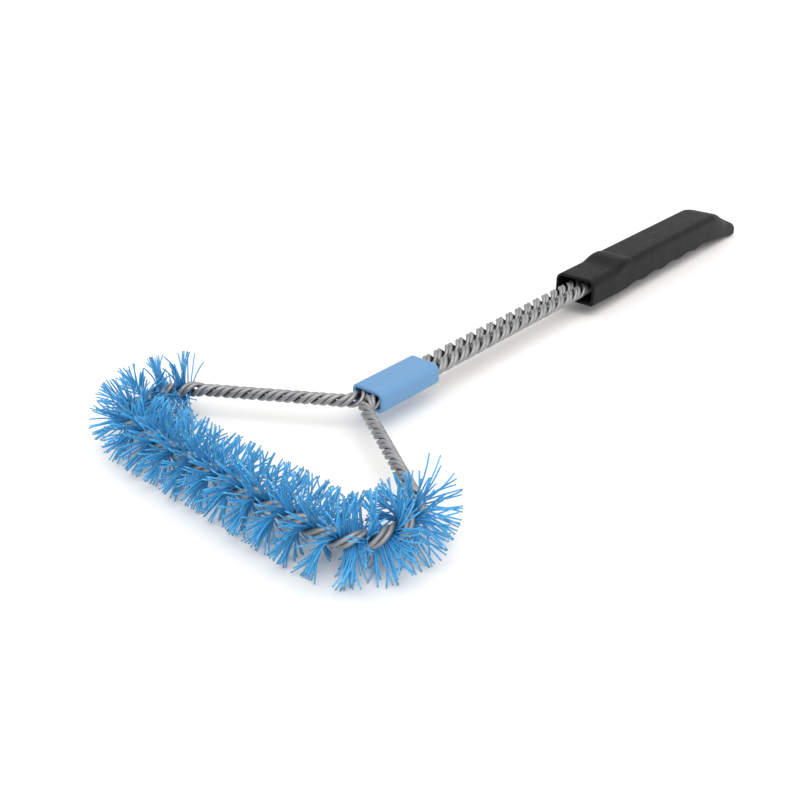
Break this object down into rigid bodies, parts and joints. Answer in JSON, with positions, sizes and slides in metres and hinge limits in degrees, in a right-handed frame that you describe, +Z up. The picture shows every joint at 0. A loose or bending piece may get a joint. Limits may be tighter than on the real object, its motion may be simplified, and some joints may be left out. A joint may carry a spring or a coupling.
{
  "type": "grill cleaning brush",
  "caption": "Long-handled grill cleaning brush with a triangular head of twisted wire and nylon bristles, a moulded collar and a hollow grip with finger grooves.",
  "frame": {"origin": "on the surface that the brush lies on, under the middle of its bounding box", "axes": "+X from the head to the end of the grip, +Z up, so the wire triangle lies level and the front bar runs along Y"},
  "size_m": [0.4656, 0.1916, 0.0325],
  "materials": {
    "grip_plastic": "fine moulded texture, satin dark grey",
    "collar_plastic": "smooth satin light blue",
    "wire_steel": "drawn wire, soft grey shine",
    "bristle_nylon": "drawn nylon filament, satin mid blue"
  },
  "bodies": {
    "root": {"grip": "grip_plastic", "collar": "collar_plastic", "wire_1": "wire_steel", "wire_2": "wire_steel", "wire_3": "wire_steel", "wire_4": "wire_steel", "bristle_tuft_01": "bristle_nylon", "bristle_tuft_02": "bristle_nylon", "bristle_tuft_03": "bristle_nylon", "bristle_tuft_04": "bristle_nylon", "bristle_tuft_05": "bristle_nylon", "bristle_tuft_06": "bristle_nylon", "bristle_tuft_07": "bristle_nylon", "bristle_tuft_08": "bristle_nylon", "bristle_tuft_09": "bristle_nylon", "bristle_tuft_10": "bristle_nylon", "bristle_tuft_11": "bristle_nylon", "bristle_tuft_12": "bristle_nylon", "bristle_tuft_13": "bristle_nylon", "bristle_tuft_14": "bristle_nylon", "bristle_tuft_15": "bristle_nylon", "bristle_tuft_16": "bristle_nylon", "bristle_tuft_17": "bristle_nylon"}
  },
  "joints": []
}
